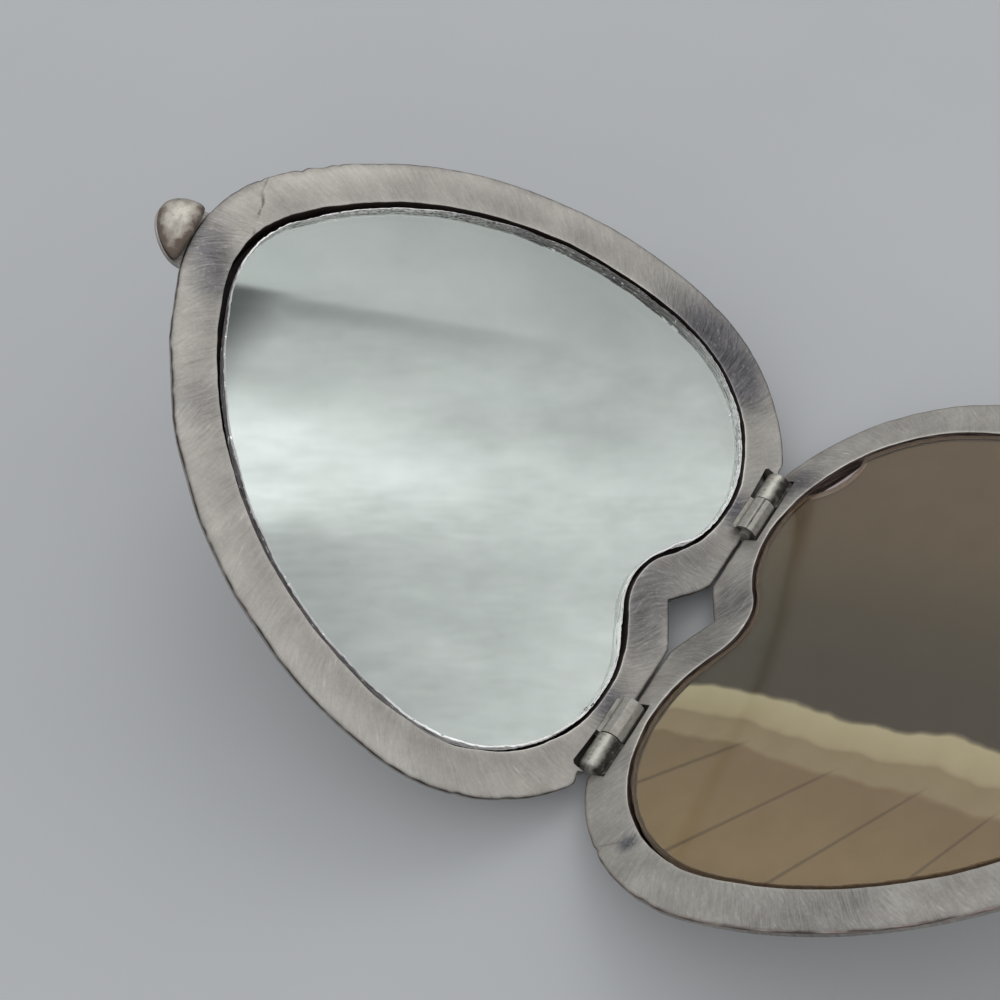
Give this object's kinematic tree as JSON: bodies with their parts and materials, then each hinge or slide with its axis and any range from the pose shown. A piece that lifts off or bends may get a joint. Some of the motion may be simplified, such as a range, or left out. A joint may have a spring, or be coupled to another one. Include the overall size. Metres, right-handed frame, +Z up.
{
  "type": "compact mirror",
  "caption": "Heart-shaped folding compact in worn cast pewter, with a mirror in one leaf, a picture under a clear sheet in the other and a bead catch at the tip.",
  "frame": {"origin": "on the surface it stands on, in the middle of the half-open compact's length and width", "axes": "+X along the hinge axis, +Y from the picture leaf's tip towards the mirror leaf's tip, +Z up"},
  "size_m": [0.0618, 0.105, 0.0338],
  "materials": {
    "pewter": "cast pewter, dressed with an abrasive across the rim, then worn",
    "aged_pewter": "cast pewter with a dark brown patina in its hollows",
    "steel_pin": "drawn wire",
    "mirror_glass": "back-silvered float glass with cut edges",
    "glue": "dried contact glue",
    "clear_sheet": "clear plastic, slightly yellowed",
    "printed_card": "printed, faintly creased",
    "backing": "plain pressed card"
  },
  "bodies": {
    "mirror_leaf": {"mirror_leaf_casting": "pewter", "mirror_glass": "mirror_glass", "mirror_glue_pad": "glue", "bead_catch": "aged_pewter", "mirror_knuckle_left": "pewter", "mirror_knuckle_right": "pewter"},
    "picture_leaf": {"picture_leaf_casting": "pewter", "clear_sheet": "clear_sheet", "picture_card": "printed_card", "picture_backing_pad": "backing", "picture_knuckle_left": "aged_pewter", "picture_knuckle_right": "aged_pewter", "hinge_pin_left": "steel_pin", "hinge_pin_right": "steel_pin"}
  },
  "joints": [
    {"name": "leaf_hinge", "type": "hinge", "parent": "mirror_leaf", "child": "picture_leaf", "pos_m": [0, -0.00165, 0.00243], "axis": [1, 0, 0], "range_deg": [-120, 60]}
  ]
}
